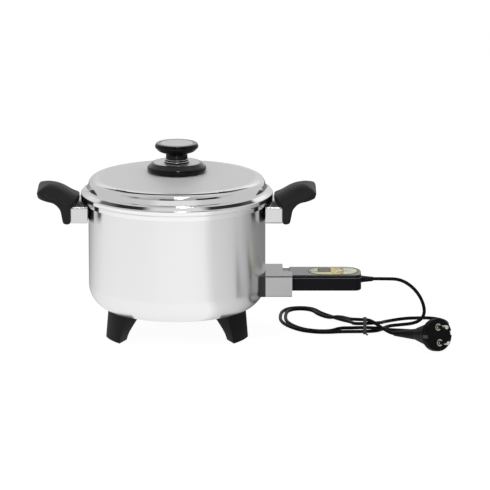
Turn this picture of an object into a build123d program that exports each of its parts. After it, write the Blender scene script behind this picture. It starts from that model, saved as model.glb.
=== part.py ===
"""Electric cooking pot: double-walled steel pot, lift-off lid and a corded plug-in heat control."""
from build123d import *
import math
import os

os.makedirs("parts", exist_ok=True)

# Fits between pieces, in millimetres as everywhere below
seat_gap = 0.05
slide_gap = 0.3
running_gap = 0.05

# Outer jacket
jacket_radius = 108.0
jacket_wall = 0.8
jacket_corner = 31.0
base_cover_lap = 9.0
base_cover_thickness = 1.0
base_cover_dish = 3.0
base_cover_clear = 1.4
base_cover_screw_reach = 6.0

# Feet, one at the back and two at the front
foot_height = 33.2
foot_setback = 19.1
foot_lean = 5.1
foot_depth = 18.5
foot_outer_half = 22.2
foot_inner_half = 5.5
foot_outer_flare = 5.9
foot_side_flare = 20.1
foot_inner_flare = 10.4
foot_flare_start = 8.0
foot_flare_top = 27.0
foot_insert_radius = 3.6
foot_insert_length = 12.0
foot_azimuths = (90, 205.5, 334.5)
cover_screw_azimuths = (30, 150, 270)

# Heating parts, stacked under the floor of the pot
socket_rise = 32.8
element_radius = 3.3
element_loop_inset = 26.0
element_bend = 16.0
element_end_inset = 4.0
spreader_thickness = 6.3
spreader_margin = 2.0
well_radius = 5.0
well_bore_radius = 3.3
well_inner_end = 10.0
well_stand_out = 2.0

# Inner pot
core_gap = 6.0
pot_wall = 1.2
pot_corner = 10.0
pot_depth = 95.5
rim_lip_depth = 7.9
gasket_thickness = 1.8
gasket_height = 3.4
insulation_clear = 3.6

# Side handles
handle_drop = 0.7
ferrule_length = 20.4
ferrule_height = 19.8
ferrule_width = 64.0
ferrule_wall = 1.0
ferrule_corner = 3.0
ferrule_crown = 7.5
grip_width = 77.0
grip_reach = 40.6
grip_rise = 28.7
grip_tongue = 10.6
grip_tongue_rise = 10.3
grip_swell = 0.9
grip_tip_rise = 9.8
grip_tip_round = 12.0
grip_leg = 9.0
grip_leg_lean = 3.4
grip_web_rise = 6.0
grip_web_reach = 19.4
grip_crown_radius = 72.0
grip_tenon = 5.5
boss_radius = 6.0
boss_length = 10.0
bolt_radius = 2.45
bolt_head_depth = 6.5

# Socket guard and terminals
guard_length = 32.4
guard_width = 70.0
guard_height = 26.0
guard_wall = 1.0
guard_corner = 2.0
guard_notch_depth = 11.3
guard_notch_front = -7.0
guard_notch_corner = 5.0
guard_screw_pitch = 50.0
screw_radius = 2.0
screw_head_radius = 4.0
screw_head_height = 2.0
pin_pitch = 28.0
pin_radius = 2.4
pin_stand_out = 22.5
bush_radius = 6.0
bush_length = 13.0

# Lid
lid_wall = 1.0
brim_overhang = 6.0
brim_lip = 4.8
brim_slope = 4.2
band_inset = 7.4
shoulder_inset = 11.2
shoulder_rise = 22.1
shoulder_round = 9.0
crown_rise = 7.8
seat_leg = 7.0
seat_ring_wall = 1.0
stem_radius = 3.0

# Knob on the lid
skirt_radius = 36.0
skirt_height = 11.6
skirt_round = 5.5
skirt_top_radius = 29.5
ring_plate_radius = 28.0
ring_plate_thickness = 0.9
neck_radius = 13.2
neck_height = 11.0
collar_step = 1.0
collar_height = 1.6
knob_radius = 27.0
knob_height = 12.5
knob_disc_radius = 20.0
knob_disc_thickness = 1.2
knob_head_depth = 7.5
stem_head_radius = 6.0
steam_port_radius = 1.5

# Control head
head_length = 88.0
head_width = 48.4
head_height = 19.5
head_entry = 3.6
head_wall = 2.0
head_front_corner = 8.0
head_back_corner = 20.0
head_edge = 2.0
lower_shell_height = 13.4
parting_gap = 0.1
nose_length = 23.5
nose_width = 46.0
nose_height = 19.0
sleeve_radius = 4.0
probe_radius = 3.0
probe_length = 111.5
plate_length = 59.4
plate_width = 37.4
plate_thickness = 0.8
plate_setback = 4.5
window_length = 14.0
window_width = 23.0
window_from_end = 40.3
window_shift = 7.5
button_radius = 2.7
button_ring = 6.3
button_from_end = 14.0
power_button_radius = 4.0
power_button_from_end = 53.4
button_proud = 0.8
button_travel = 0.7
button_flange = 1.0
board_length = 72.0
board_width = 40.0
board_thickness = 1.6
board_lift = 6.0
board_shift = 3.0
switch_height = 3.5
switch_side = 6.0
relay_size = (18.0, 12.0, 5.4)
relay_from_end = 45.0
head_screw_radius = 1.5
head_boss_radius = 3.0
head_screw_front = 13.0
head_screw_back = 17.0
head_screw_side = 6.2
relief_length = 15.0
relief_root_radius = 4.4
relief_tip_radius = 2.7
relief_height = 9.5

# Mains cord: diameter, the lead's route on its way to the floor, and the tied hank
cord_diameter = 4.2
cord_rest = cord_diameter / 2 + 0.1
lead_route = [
    (272.5, 4.0, 66.5),
    (287.0, 9.5, 57.0),
    (297.5, 16.0, 43.5),
    (303.5, 23.0, 28.5),
    (304.5, 29.0, 15.5),
    (298.5, 34.0, 6.0),
    (288.0, 36.0, cord_rest),
    (278.0, 32.2, cord_rest),
]
waist_x = 230.0
waist_y = -8.0
waist_rest = 3.2
stack_step = 5.0
strand_step = 6.5
hank_turns = 2
lobe_reach = 103.0
lobe_tip_y = 72.0
lobe_front_y = -7.5
lobe_front_reach = 48.0
lobe_rear_y = 119.0
lobe_rear_reach = 78.0
far_loop_reach = 103.0
far_loop_tip_y = 36.0
far_loop_rear_y = 66.0
tie_width = 4.0
tie_thickness = 0.6

# Plug, lying on its rim and its boot
plug_face = (317.0, -97.0, 21.4)
plug_radius = 19.8
plug_rim = 9.0
plug_body_length = 45.0
plug_neck_radius = 7.0
boot_tip_radius = 3.1
boot_tip = (266.4, -23.0, 4.5)
plug_pin_pitch = 19.0
plug_pin_radius = 2.4
plug_pin_length = 19.0
plug_pin_root_radius = 1.9
plug_pin_sink = 6.0
plug_pin_shoulder = 0.4
earth_slot_width = 5.0
earth_slot_depth = 3.2
earth_strip = 0.8

# Levels and radii worked out from the sizes above
jacket_underside = foot_height
socket_z = jacket_underside + socket_rise
spreader_under = socket_z + element_radius + seat_gap
spreader_top = spreader_under + spreader_thickness
floor_under = spreader_top + seat_gap
floor_top = floor_under + pot_wall
rim_top = floor_top + pot_depth
rim_lip_bottom = rim_top - rim_lip_depth
rim_lip_radius = jacket_radius + gasket_thickness + pot_wall
jacket_top = rim_lip_bottom + gasket_height
pot_bore_radius = jacket_radius - jacket_wall - core_gap - pot_wall
spreader_radius = pot_bore_radius - pot_corner - spreader_margin
element_cold_end = spreader_radius - element_end_inset
element_loop_radius = spreader_radius - element_loop_inset
foot_outer_radius = jacket_radius - foot_setback
foot_inner_radius = foot_outer_radius - foot_depth
cover_radius = foot_inner_radius - foot_inner_flare - base_cover_clear
service_opening_radius = cover_radius - base_cover_lap
wall_plane = jacket_radius + 3 * seat_gap
ferrule_top = rim_lip_bottom - handle_drop
ferrule_end = wall_plane + ferrule_length
handle_z = ferrule_top - ferrule_height / 2
guard_end = wall_plane + guard_length
guard_bottom = socket_z - guard_height / 2
lid_seat = rim_top + slide_gap
brim_radius = rim_lip_radius + brim_overhang
brim_top = lid_seat + brim_lip
shoulder_radius = brim_radius - shoulder_inset
shoulder_z = lid_seat + shoulder_rise
crown_z = shoulder_z + crown_rise
dome_radius = 0.85 * (shoulder_radius ** 2 + crown_rise ** 2) / (2 * crown_rise)
dome_turn = math.atan2(crown_rise, shoulder_radius / 2)
dome_flat = shoulder_radius / 2 - dome_radius * math.tan(dome_turn / 2)
head_start = guard_end - head_entry
head_end = head_start + head_length
head_top = guard_bottom + guard_height - guard_wall - slide_gap
head_bottom = head_top - head_height


def outline(*corners):
    """Closed flat face through the corners; a third number rounds that corner."""
    points = [corner[:2] for corner in corners]
    radii = [corner[2] if len(corner) > 2 else 0 for corner in corners]
    return make_face(FilletPolyline(*points, radius=radii, close=True))


def right_of(way):
    return Vector(way.Y, -way.X)


def sheet(thickness, *path):
    """Section of a bent sheet: the path is one skin, and the wall lies to the right of it."""
    points = [Vector(*corner[:2]) for corner in path]
    ways = [(b - a).normalized() for a, b in zip(points, points[1:])]
    inner = []
    for i, corner in enumerate(path):
        before = ways[max(i - 1, 0)]
        after = ways[min(i, len(ways) - 1)]
        bisector = (right_of(before) + right_of(after)).normalized()
        place = points[i] + bisector * (thickness / bisector.dot(right_of(after)))
        radius = corner[2] if len(corner) > 2 else 0
        if radius:
            left_turn = before.cross(after).Z > 0
            radius = radius + thickness if left_turn else max(radius - thickness, 0)
        inner.append((place.X, place.Y, radius))
    return outline(*path, *reversed(inner))


def turned(section):
    """Solid of revolution about the pot's axis, from a section drawn as radius and height."""
    return revolve(Plane.XZ * section, Axis.Z)


def rod(start, end, radius, tip_radius=None):
    """Round bar, or cone, between two points."""
    reach = Vector(*end) - Vector(*start)
    plane = Plane(origin=Vector(*start), z_dir=reach)
    low = (Align.CENTER, Align.CENTER, Align.MIN)
    if tip_radius is None:
        return plane * Cylinder(radius, reach.length, align=low)
    return plane * Cone(radius, tip_radius, reach.length, align=low)


def block(low, high):
    """Box between two corners."""
    middle = (Vector(*low) + Vector(*high)) / 2
    return Pos(*middle) * Box(*(Vector(*high) - Vector(*low)))


def prism(plane, section, amount):
    """Straight solid of a section, both ways from its plane."""
    return extrude(plane * section, amount, both=True)


def sleeve(start, end, outer, bore):
    return rod(start, end, outer) - rod(start, end, bore)


def group(pieces):
    return Compound(children=[piece.solid() for piece in pieces])


def save(name, shape):
    export_step(shape, f"parts/{name}.step")


def around(azimuth, shape):
    return Rot(0, 0, azimuth) * shape


# Jacket: a drawn cup with a service opening in its bottom
side_ys = (-pin_pitch / 2, pin_pitch / 2)
guard_screw_ys = (-guard_screw_pitch / 2, guard_screw_pitch / 2)
foot_screw_place = jacket_radius - jacket_corner - screw_head_radius - seat_gap
cover_screw_place = service_opening_radius + base_cover_lap / 2


def through_wall(y, radius):
    return rod((pot_bore_radius - 8, y, socket_z), (wall_plane + 5, y, socket_z), radius)


def upright(place, azimuth, low, high, radius):
    """Round bar standing at a radius and azimuth."""
    return around(azimuth, rod((place, 0, low), (place, 0, high), radius))


jacket = turned(
    sheet(
        jacket_wall,
        (jacket_radius, jacket_top),
        (jacket_radius, jacket_underside, jacket_corner),
        (service_opening_radius, jacket_underside),
    )
)
for y in side_ys:
    jacket -= through_wall(y, bush_radius + seat_gap)
for y in guard_screw_ys:
    jacket -= through_wall(y, screw_radius + seat_gap)
jacket -= through_wall(0, well_radius + seat_gap)
for azimuth in foot_azimuths:
    jacket -= upright(foot_screw_place, azimuth, 0, jacket_underside + 5, screw_radius + seat_gap)
for azimuth in cover_screw_azimuths:
    jacket -= upright(cover_screw_place, azimuth, 0, jacket_underside + 5, screw_radius + seat_gap)
save("outer_jacket", jacket)

# Base cover: a shallow pan screwed over the service opening
cover_seat = jacket_underside - seat_gap
base_cover = turned(
    sheet(
        base_cover_thickness,
        (0, cover_seat - base_cover_dish),
        (service_opening_radius - 6, cover_seat - base_cover_dish, 4),
        (service_opening_radius - 2, cover_seat, 3),
        (cover_radius, cover_seat),
    )
)
cover_screws = []
for azimuth in cover_screw_azimuths:
    cover_under = cover_seat - base_cover_thickness
    base_cover -= upright(cover_screw_place, azimuth, 0, jacket_underside, screw_radius + seat_gap)
    head_bottom_z = cover_under - screw_head_height
    screw_end = jacket_underside + base_cover_screw_reach
    shank = upright(cover_screw_place, azimuth, head_bottom_z, screw_end, screw_radius)
    head = upright(cover_screw_place, azimuth, head_bottom_z, cover_under - seat_gap, screw_head_radius)
    cover_screws.append(shank + head)
save("base_cover", base_cover)
save("base_cover_screws", group(cover_screws))

# Inner pot: a drawn vessel whose rim is rolled down over the jacket
inner_pot = turned(
    sheet(
        pot_wall,
        (0, floor_top),
        (pot_bore_radius, floor_top, pot_corner),
        (pot_bore_radius, rim_top, 2.0),
        (rim_lip_radius, rim_top, 3.0),
        (rim_lip_radius, rim_lip_bottom),
    )
)
save("inner_pot", inner_pot)

# Gasket in the rolled rim, and the insulation between the walls
lip_bore = rim_lip_radius - pot_wall
gasket = turned(
    outline(
        (jacket_radius + seat_gap, jacket_top - gasket_height + 0.6),
        (lip_bore - seat_gap, jacket_top - gasket_height + 0.6),
        (lip_bore - seat_gap, jacket_top),
        (jacket_radius + seat_gap, jacket_top),
    )
)
save("rim_gasket", gasket)
pot_outer_radius = pot_bore_radius + pot_wall
insulation_bottom = floor_top + pot_corner
insulation_top = rim_lip_bottom - insulation_clear
insulation = turned(
    outline(
        (pot_outer_radius + slide_gap, insulation_bottom),
        (jacket_radius - jacket_wall - slide_gap, insulation_bottom),
        (jacket_radius - jacket_wall - slide_gap, insulation_top),
        (pot_outer_radius + slide_gap, insulation_top),
    )
)
save("insulation_sleeve", insulation)

# Heat spreader with a groove for the probe well, and the element clamped under it
well_outer_end = wall_plane + well_stand_out
well_line = ((well_inner_end, 0, socket_z), (well_outer_end, 0, socket_z))
spreader = rod((0, 0, spreader_under), (0, 0, spreader_top), spreader_radius)
spreader -= rod(
    (well_inner_end - seat_gap, 0, socket_z), (spreader_radius + 5, 0, socket_z), well_radius + seat_gap
)
save("heat_spreader", spreader)

well_hollow_start = well_inner_end + well_radius - well_bore_radius
well = rod(*well_line, well_radius)
well -= rod((well_hollow_start, 0, socket_z), (well_outer_end, 0, socket_z), well_bore_radius)
save("probe_well", well)

loop_angles = (310, 265, 220, 180, 140, 95, 50)
loop_points = [
    (element_loop_radius * math.cos(math.radians(a)), element_loop_radius * math.sin(math.radians(a)), socket_z)
    for a in loop_angles
]
element_path = FilletPolyline(
    (element_cold_end, side_ys[0], socket_z),
    (element_loop_radius, side_ys[0], socket_z),
    *loop_points,
    (element_loop_radius, side_ys[1], socket_z),
    (element_cold_end, side_ys[1], socket_z),
    radius=element_bend / 2,
)
element_start = Plane(origin=element_path @ 0, z_dir=element_path % 0)
element = sweep(element_start * Circle(element_radius), path=element_path)
save("heating_element", element)

# Terminal pins in ceramic bushes through the jacket
pin_end = wall_plane + pin_stand_out
pins = []
bushes = []
for y in side_ys:
    pin = rod((element_cold_end + seat_gap, y, socket_z), (pin_end, y, socket_z), pin_radius)
    pins.append(fillet(pin.edges().sort_by(Axis.X)[-1], pin_radius * 0.6))
    bush_end = wall_plane + 3
    bushes.append(
        sleeve((bush_end - bush_length, y, socket_z), (bush_end, y, socket_z), bush_radius, pin_radius + seat_gap)
    )
save("terminal_pins", group(pins))
save("pin_bushes", group(bushes))

# Socket guard: a steel box open at its outer end, notched at the back of its top
guard_half = guard_width / 2
guard_top = guard_bottom + guard_height
guard = block((wall_plane, -guard_half, guard_bottom), (guard_end, guard_half, guard_top))
guard = fillet(guard.edges().filter_by(Axis.X), guard_corner)
guard -= block(
    (wall_plane + guard_wall, -guard_half + guard_wall, guard_bottom + guard_wall),
    (guard_end + 1, guard_half - guard_wall, guard_top - guard_wall),
)
notch = outline(
    (guard_end - guard_notch_depth, guard_notch_front, guard_notch_corner),
    (guard_end + 1, guard_notch_front),
    (guard_end + 1, guard_half + 1),
    (guard_end - guard_notch_depth, guard_half + 1),
)
guard -= extrude(Pos(0, 0, guard_top - 3 * guard_corner) * notch, 4 * guard_corner)
for y in side_ys:
    guard -= rod((wall_plane - 1, y, socket_z), (wall_plane + 2, y, socket_z), bush_radius + slide_gap)
guard -= rod((wall_plane - 1, 0, socket_z), (wall_plane + 2, 0, socket_z), well_radius + slide_gap)
for y in guard_screw_ys:
    guard -= rod((wall_plane - 1, y, socket_z), (wall_plane + 2, y, socket_z), screw_radius + seat_gap)
save("socket_guard", guard)

jacket_bar = rod((0, 0, jacket_underside), (0, 0, jacket_top), jacket_radius + seat_gap)
guard_screws = []
guard_spacers = []
for y in guard_screw_ys:
    inside = wall_plane + guard_wall + seat_gap
    shank = rod((pot_bore_radius - 4, y, socket_z), (inside + 1, y, socket_z), screw_radius)
    head = rod((inside, y, socket_z), (inside + 2, y, socket_z), screw_head_radius)
    guard_screws.append(shank + head)
    spacer_start = (pot_bore_radius - 4, y, socket_z)
    spacer_end = (wall_plane - seat_gap, y, socket_z)
    guard_spacers.append(
        sleeve(spacer_start, spacer_end, screw_head_radius, screw_radius + seat_gap) - jacket_bar
    )
save("guard_screws", group(guard_screws))
save("guard_spacers", group(guard_spacers))

# Feet: leaning wedges that flare towards the jacket and are cut to its round bottom edge
foot_top = foot_height + jacket_corner / 4
jacket_envelope = turned(
    outline(
        (0, jacket_underside - seat_gap),
        (jacket_radius + seat_gap, jacket_underside - seat_gap, jacket_corner),
        (jacket_radius + seat_gap, jacket_top),
        (0, jacket_top),
    )
)
foot_side = outline(
    (foot_inner_radius, 0),
    (foot_outer_radius + 5, 0),
    (foot_outer_radius + 5, foot_top),
    (foot_inner_radius - foot_inner_flare, foot_top),
    (foot_inner_radius - foot_inner_flare, foot_flare_top, 4.0),
    (foot_inner_radius, foot_flare_start, 24.0),
)
foot_cone = turned(
    outline((0, 0), (foot_outer_radius, 0), (foot_outer_radius - foot_lean, foot_top), (0, foot_top))
)
wedge_slope = (foot_outer_half - foot_inner_half) / foot_depth


def foot_wedge(level, inner_end, inner_grow, outer_grow):
    """Plan of a foot at a level, a wedge narrowing towards the middle of the pot."""
    inner_half = foot_inner_half * 0.1 + inner_grow
    outer_half = foot_outer_half + 5 * wedge_slope + outer_grow
    corners = outline(
        (inner_end, -inner_half),
        (foot_outer_radius + 5, -outer_half),
        (foot_outer_radius + 5, outer_half),
        (inner_end, inner_half),
    )
    return Pos(0, 0, level) * corners


wedge_end = foot_inner_radius - foot_inner_half / wedge_slope * 0.9
flare_end = foot_inner_radius - foot_inner_flare - foot_inner_half
foot_low = foot_wedge(0, wedge_end, 0, 0)
foot_high = foot_wedge(foot_top, flare_end, foot_side_flare, foot_outer_flare)
foot = loft([foot_low, foot_high], ruled=True)
foot &= prism(Plane.XZ, foot_side, 4 * foot_outer_half)
foot &= foot_cone
foot -= jacket_envelope
insert_top = jacket_underside - 2 * seat_gap
insert_bottom = insert_top - foot_insert_length
foot -= upright(foot_screw_place, 0, insert_bottom - seat_gap, foot_top, foot_insert_radius + seat_gap)
foot_screws = []
foot_inserts = []
screw_seat = jacket_underside + jacket_wall + seat_gap
for name, azimuth in zip(("rear_foot", "front_left_foot", "front_right_foot"), foot_azimuths):
    save(name, around(azimuth, foot))
    shank = upright(foot_screw_place, azimuth, insert_bottom + 2, screw_seat + 1, screw_radius)
    head = upright(foot_screw_place, azimuth, screw_seat, screw_seat + screw_head_height, screw_head_radius)
    foot_screws.append(shank + head)
    insert_bar = upright(foot_screw_place, azimuth, insert_bottom, insert_top, foot_insert_radius)
    insert_bore = upright(foot_screw_place, azimuth, 0, jacket_top, screw_radius + seat_gap)
    foot_inserts.append(insert_bar - insert_bore)
save("foot_screws", group(foot_screws))
save("foot_inserts", group(foot_inserts))

# Handles: built on the right, turned half round for the left
ferrule_half = ferrule_width / 2
ferrule_bottom = ferrule_top - ferrule_height


def arched(start, end, inset):
    """Bar along X with the ferrule's arched section, drawn in by an inset."""
    half = ferrule_half - inset
    low = ferrule_bottom + inset
    high = ferrule_top - inset
    section = make_face(
        [
            Line((-half, low), (half, low)),
            Line((half, low), (half, high)),
            ThreePointArc((half, high), (0, high + ferrule_crown), (-half, high)),
            Line((-half, high), (-half, low)),
        ]
    )
    return prism(Plane.YZ.offset((start + end) / 2), section, (end - start) / 2)


ferrule = arched(wall_plane, ferrule_end, 0)
ferrule = fillet(ferrule.edges().filter_by(Axis.X), ferrule_corner)
ferrule -= arched(wall_plane + ferrule_wall, ferrule_end + 1, ferrule_wall)
lip_room = rod((0, 0, ferrule_top), (0, 0, rim_top), rim_lip_radius + slide_gap)
ferrule -= lip_room
ferrule -= rod((wall_plane - 1, 0, handle_z), (wall_plane + 2, 0, handle_z), boss_radius + seat_gap)

leg_start = ferrule_end + seat_gap
leg_end = leg_start + grip_leg
web_x = leg_end + grip_leg_lean
tip_x = leg_start + grip_reach
tongue_x = leg_start - grip_tongue
tongue_z = ferrule_top + slide_gap
peak_z = tongue_z + grip_rise
tongue_top = tongue_z + grip_tongue_rise
tip_z = tongue_z + grip_tip_rise
grip_section = outline(
    (tongue_x, tongue_z),
    (tongue_x, tongue_top, 1.0),
    ((tongue_x + tip_x) / 2, (tongue_top + peak_z) / 2 + grip_swell, 100.0),
    (tip_x, peak_z, grip_tip_round),
    (tip_x, tip_z, 1.5),
    (leg_start + grip_web_reach, tongue_z + grip_web_rise, 14.0),
    (web_x, tongue_z - 2.2, 6.0),
    (leg_end, ferrule_bottom, 3.5),
    (leg_start, ferrule_bottom, 2.0),
    (leg_start, tongue_z),
)
grip_half = grip_width / 2
grip_tip_corner = 18.0
grip_plan = make_face(
    [
        Line((leg_start, -grip_half), (tip_x - grip_tip_corner, -grip_half)),
        TangentArc((tip_x - grip_tip_corner, -grip_half), (tip_x, grip_tip_corner - grip_half), tangent=(1, 0)),
        Line((tip_x, grip_tip_corner - grip_half), (tip_x, grip_half - grip_tip_corner)),
        TangentArc((tip_x, grip_half - grip_tip_corner), (tip_x - grip_tip_corner, grip_half), tangent=(0, 1)),
        Line((tip_x - grip_tip_corner, grip_half), (leg_start, grip_half)),
        ThreePointArc((leg_start, grip_half), (tongue_x, 0), (leg_start, -grip_half)),
    ]
)
crown_way = Vector(tip_x - tongue_x, 0, peak_z - tongue_top).normalized()
crown_down = Vector(crown_way.Z, 0, -crown_way.X)
crown_middle = Vector(tip_x, 0, peak_z) + crown_down * (grip_crown_radius - grip_swell)
crown_reach = crown_way * (grip_reach * 3)
crown_start = crown_middle - crown_reach
crown_end = crown_middle + crown_reach
grip = prism(Plane.XZ, grip_section, grip_half)
grip &= extrude(grip_plan, peak_z + 10)
grip &= rod(tuple(crown_start), tuple(crown_end), grip_crown_radius)
grip -= arched(tongue_x - 1, leg_start, -slide_gap)
grip += arched(leg_start - grip_tenon, leg_start + 1, ferrule_wall + slide_gap)
head_seat = leg_start + bolt_head_depth
grip -= rod((wall_plane, 0, handle_z), (web_x + 1, 0, handle_z), bolt_radius + slide_gap)
grip -= rod((head_seat, 0, handle_z), (web_x + 1, 0, handle_z), screw_head_radius + slide_gap)
boss = sleeve(
    (jacket_radius + seat_gap, 0, handle_z),
    (jacket_radius + boss_length, 0, handle_z),
    boss_radius,
    bolt_radius + seat_gap,
)
bolt = rod((jacket_radius + 3, 0, handle_z), (head_seat + 1, 0, handle_z), bolt_radius)
bolt += rod((head_seat + seat_gap, 0, handle_z), (head_seat + screw_head_height, 0, handle_z), screw_head_radius)
for side, azimuth in (("right", 0), ("left", 180)):
    save(f"{side}_ferrule", around(azimuth, ferrule))
    save(f"{side}_grip", around(azimuth, grip))
save("handle_bosses", group([boss, around(180, boss)]))
save("handle_bolts", group([bolt, around(180, bolt)]))

# Lid: a domed pan with a rolled brim, and the ring that seats it in the pot
lid_pan = turned(
    sheet(
        lid_wall,
        (stem_radius + seat_gap, crown_z),
        (shoulder_radius / 2, crown_z, dome_radius),
        (shoulder_radius, shoulder_z, shoulder_round),
        (brim_radius - band_inset, brim_top + brim_slope, 4.0),
        (brim_radius, brim_top, 2.0),
        (brim_radius, lid_seat),
    )
)
save("lid_pan", lid_pan)
seat_outer = brim_radius - lid_wall - seat_gap
seat_inner = pot_bore_radius - 2 * slide_gap
seat_ring = turned(
    outline(
        (seat_inner - seat_ring_wall, lid_seat - seat_leg),
        (seat_inner, lid_seat - seat_leg),
        (seat_inner, lid_seat),
        (seat_outer, lid_seat),
        (seat_outer, lid_seat + seat_ring_wall),
        (seat_inner - seat_ring_wall, lid_seat + seat_ring_wall, 1.5),
    )
)
save("lid_seat_ring", seat_ring)


def dome_z(radius):
    """Height of the lid's dome at a radius."""
    beyond = max(radius - dome_flat, 0)
    return crown_z - dome_radius + math.sqrt(dome_radius ** 2 - beyond ** 2)


# Knob: fixed skirt with a steel ring plate, and a head that turns on the stem to open the vent
skirt_top = crown_z + skirt_height
skirt_foot = skirt_radius - 2.5
skirt = turned(
    outline(
        (stem_radius + seat_gap, crown_z + slide_gap),
        (skirt_foot / 2, dome_z(skirt_foot / 2) + slide_gap),
        (skirt_foot, dome_z(skirt_foot) + slide_gap),
        (skirt_radius, dome_z(skirt_foot) + 2.5, 2.0),
        (skirt_radius, skirt_top - skirt_round, skirt_round * 0.8),
        (skirt_top_radius, skirt_top, 2.5),
        (ring_plate_radius + seat_gap, skirt_top),
        (ring_plate_radius + seat_gap, skirt_top - ring_plate_thickness),
        (stem_radius + seat_gap, skirt_top - ring_plate_thickness),
    )
)
save("knob_skirt", skirt)
plate_bottom = skirt_top - ring_plate_thickness + seat_gap
ring_plate = turned(
    outline(
        (stem_radius + seat_gap, plate_bottom),
        (ring_plate_radius, plate_bottom),
        (ring_plate_radius, skirt_top),
        (stem_radius + seat_gap, skirt_top),
    )
)
save("knob_ring_plate", ring_plate)

neck_bottom = skirt_top + slide_gap
knob_bottom = neck_bottom + neck_height
knob_top = knob_bottom + knob_height
collar_two = neck_bottom + collar_height
collar_end = collar_two + collar_height
disc_seat = knob_top - knob_disc_thickness - seat_gap
head_seat_z = disc_seat - knob_head_depth
vent_knob = turned(
    outline(
        (stem_radius + running_gap, neck_bottom),
        (neck_radius + 2 * collar_step, neck_bottom),
        (neck_radius + 2 * collar_step, collar_two),
        (neck_radius + collar_step, collar_two),
        (neck_radius + collar_step, collar_end),
        (neck_radius, collar_end),
        (neck_radius, knob_bottom, 3.0),
        (knob_radius * 0.82, knob_bottom + 2.4, 8.0),
        (knob_radius, knob_top - 4.5, 3.0),
        (knob_radius - 2.0, knob_top, 2.0),
        (knob_disc_radius + seat_gap, knob_top),
        (knob_disc_radius + seat_gap, disc_seat),
        (stem_head_radius + slide_gap, disc_seat),
        (stem_head_radius + slide_gap, head_seat_z),
        (stem_radius + running_gap, head_seat_z),
    )
)
port_z = (collar_end + knob_bottom) / 2
for azimuth in (90, 270):
    port = rod((0, 0, port_z), (knob_radius, 0, port_z), steam_port_radius)
    vent_knob -= around(azimuth, port)
save("vent_knob", vent_knob)
knob_disc = turned(
    outline(
        (0, disc_seat + seat_gap),
        (knob_disc_radius, disc_seat + seat_gap),
        (knob_disc_radius, knob_top, 0.5),
        (0, knob_top + 0.4),
    )
)
save("knob_disc", knob_disc)
washer_bottom = crown_z - lid_wall - seat_gap - 1.5
nut_bottom = washer_bottom - seat_gap - 4.0
stem = rod((0, 0, nut_bottom - 2), (0, 0, head_seat_z + 1), stem_radius)
stem += rod((0, 0, head_seat_z + slide_gap), (0, 0, disc_seat - 1.5), stem_head_radius)
save("lid_stem", stem)
save("stem_washer", sleeve((0, 0, washer_bottom), (0, 0, washer_bottom + 1.5), 11.0, stem_radius + seat_gap))
stem_nut = extrude(RegularPolygon(5.8, 6) - Circle(stem_radius + seat_gap), 4.0)
save("stem_nut", Pos(0, 0, nut_bottom) * stem_nut)

# Control head: two shells, parted along the side, with the heat-proof nose that enters the guard
head_half = head_width / 2
head_plan = outline(
    (head_start, -head_half, 2.0),
    (head_end, -head_half, head_front_corner),
    (head_end, head_half, head_back_corner),
    (head_start, head_half, 2.0),
)
head_cavity = offset(head_plan, amount=-head_wall)
parting_z = head_bottom + lower_shell_height
inside_bottom = head_bottom + head_wall
inside_top = head_top - head_wall
plate_end = head_end - plate_setback
plate_x = plate_end - plate_length / 2
plate_seat = head_top - plate_thickness - seat_gap
relief_z = head_bottom + relief_height
board_bottom = inside_bottom + board_lift
board_top = board_bottom + board_thickness
head_screw_places = [
    (x, y)
    for x in (head_start + head_screw_front, head_end - head_screw_back)
    for y in (head_screw_side - head_half, head_half - head_screw_side)
]

lower_shell = extrude(Pos(0, 0, head_bottom) * head_plan, lower_shell_height)
lower_shell = fillet(lower_shell.faces().sort_by(Axis.Z)[0].edges(), head_edge)
lower_shell -= extrude(Pos(0, 0, inside_bottom) * head_cavity, head_height)
upper_shell = extrude(Pos(0, 0, parting_z + parting_gap) * head_plan, head_top - parting_z - parting_gap)
upper_shell = fillet(upper_shell.faces().sort_by(Axis.Z)[-1].edges(), head_edge)
upper_shell -= extrude(Pos(0, 0, parting_z - 1) * head_cavity, inside_top - parting_z + 1)
for x, y in head_screw_places:
    lower_boss = rod((x, y, inside_bottom - 1), (x, y, board_bottom - seat_gap), head_boss_radius)
    lower_shell += lower_boss
    lower_shell -= rod((x, y, head_bottom - 1), (x, y, head_top), head_screw_radius + seat_gap)
    lower_shell -= rod((x, y, head_bottom - 1), (x, y, head_bottom + 1.5), head_boss_radius)
    upper_boss = rod((x, y, board_top + seat_gap), (x, y, inside_top + 0.5), head_boss_radius)
    upper_shell += upper_boss
    upper_shell -= rod((x, y, parting_z - 9), (x, y, inside_top - 1), head_screw_radius + seat_gap)
lower_shell -= rod((head_start - 1, 0, socket_z), (head_start + head_wall + 1, 0, socket_z), sleeve_radius)
relief_hole = rod((head_end - head_wall - 1, 0, relief_z), (head_end + 1, 0, relief_z), relief_root_radius)
lower_shell -= relief_hole
upper_shell -= relief_hole

# Face plate in a shallow recess, with its window and buttons
plate_recess = Pos(plate_x, 0) * SlotOverall(plate_length + slide_gap, plate_width + slide_gap)
plate = Pos(plate_x, 0) * SlotOverall(plate_length, plate_width)
window_x = plate_end - window_from_end
window_plan = Pos(window_x, window_shift) * Rectangle(window_length, window_width)
window_hole = Pos(window_x, window_shift) * Rectangle(window_length + slide_gap, window_width + slide_gap)
buttons = [("power_button", plate_end - power_button_from_end, 0.0, power_button_radius)]
small_names = ("plus_button", "timer_button", "minus_button", "mode_button")
for i, name in enumerate(small_names):
    turn = math.radians(90 * i)
    button_x = plate_end - button_from_end + button_ring * math.cos(turn)
    buttons.append((name, button_x, button_ring * math.sin(turn), button_radius))
upper_shell -= extrude(Pos(0, 0, plate_seat) * plate_recess, head_height)
upper_shell -= extrude(Pos(0, 0, inside_top - 1) * window_hole, head_height)
face_plate = extrude(Pos(0, 0, plate_seat + seat_gap) * plate, plate_thickness)
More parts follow.
